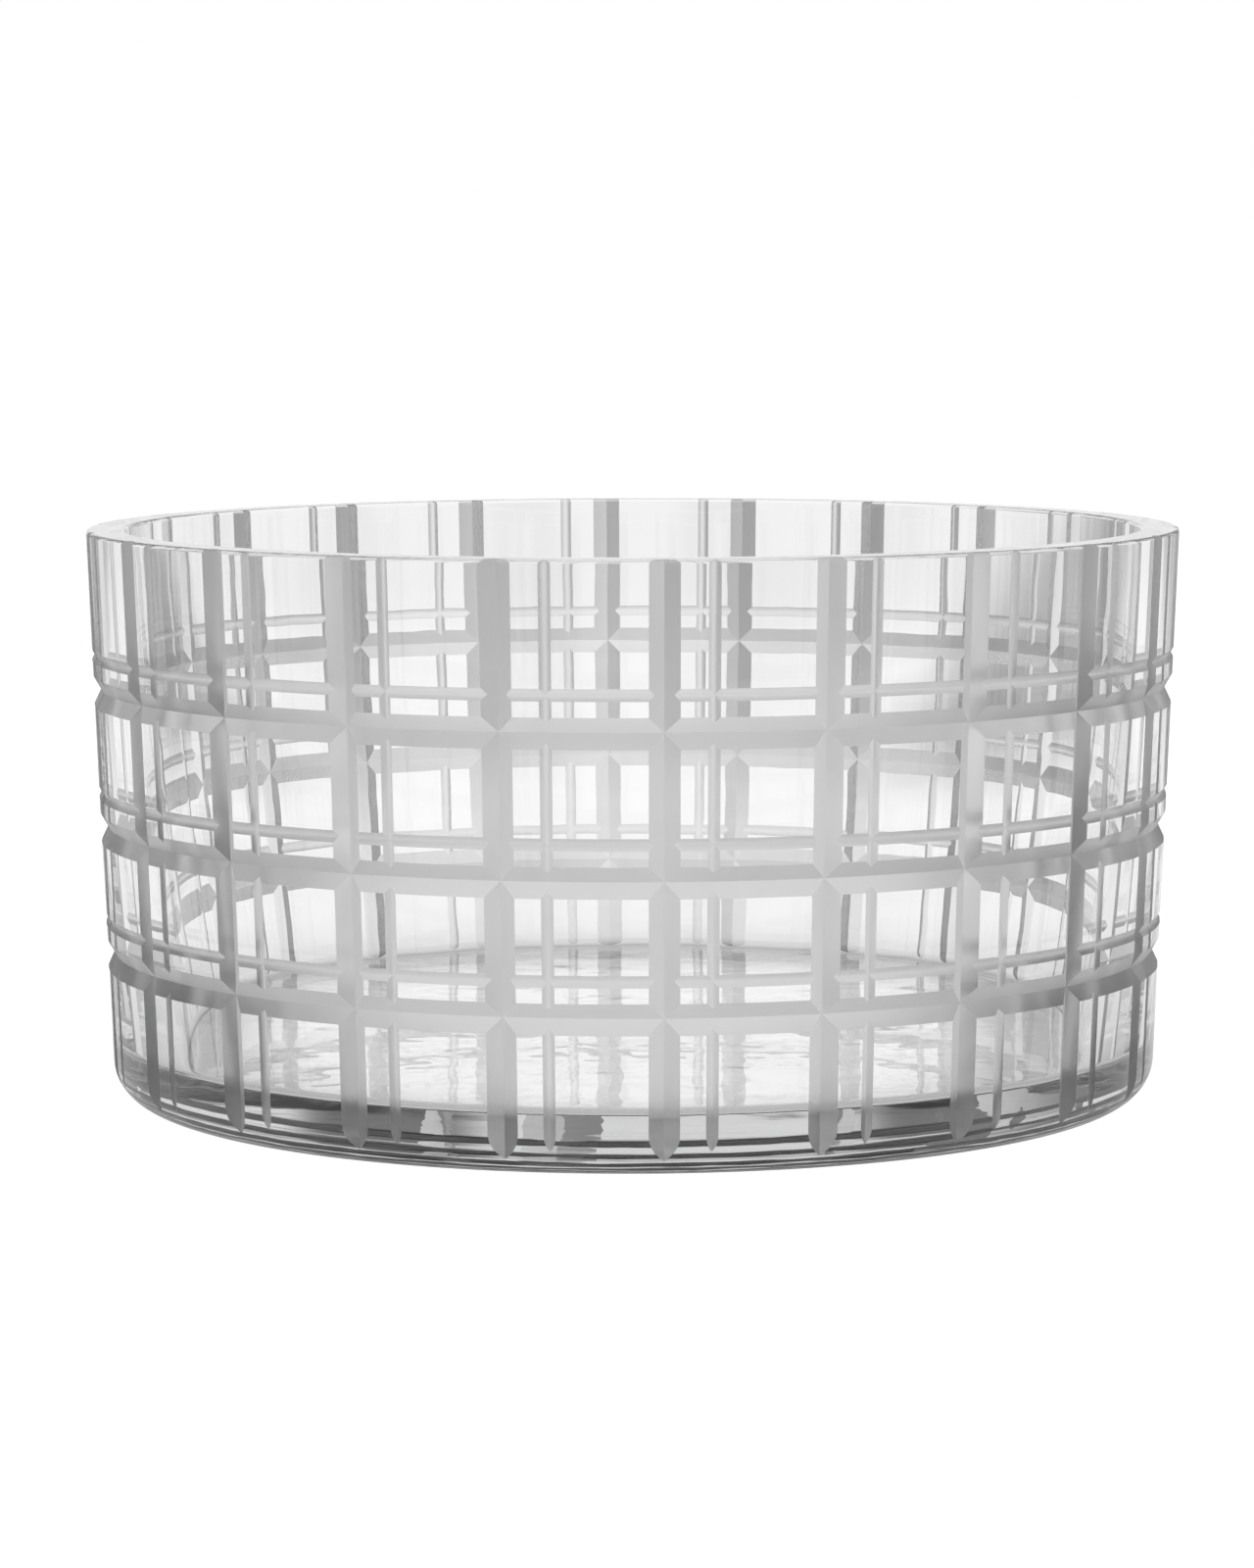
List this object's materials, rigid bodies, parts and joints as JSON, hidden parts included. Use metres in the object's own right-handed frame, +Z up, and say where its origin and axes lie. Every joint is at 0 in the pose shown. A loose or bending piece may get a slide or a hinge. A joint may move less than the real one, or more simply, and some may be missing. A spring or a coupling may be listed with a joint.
{
  "type": "crystal bowl",
  "caption": "Straight-sided round bowl of thick clear crystal with a plaid of matte V-shaped cuts on its outside and a polished rim.",
  "frame": {"origin": "middle of the flat underside", "axes": "+Z up along the bowl's axis, out of its mouth; a wide upright cut lies on the -Y side, which faces the picture's camera"},
  "size_m": [0.254, 0.2538, 0.133],
  "materials": {
    "crystal": "polished, with matte cuts"
  },
  "bodies": {
    "root": {"bowl": "crystal"}
  },
  "joints": []
}
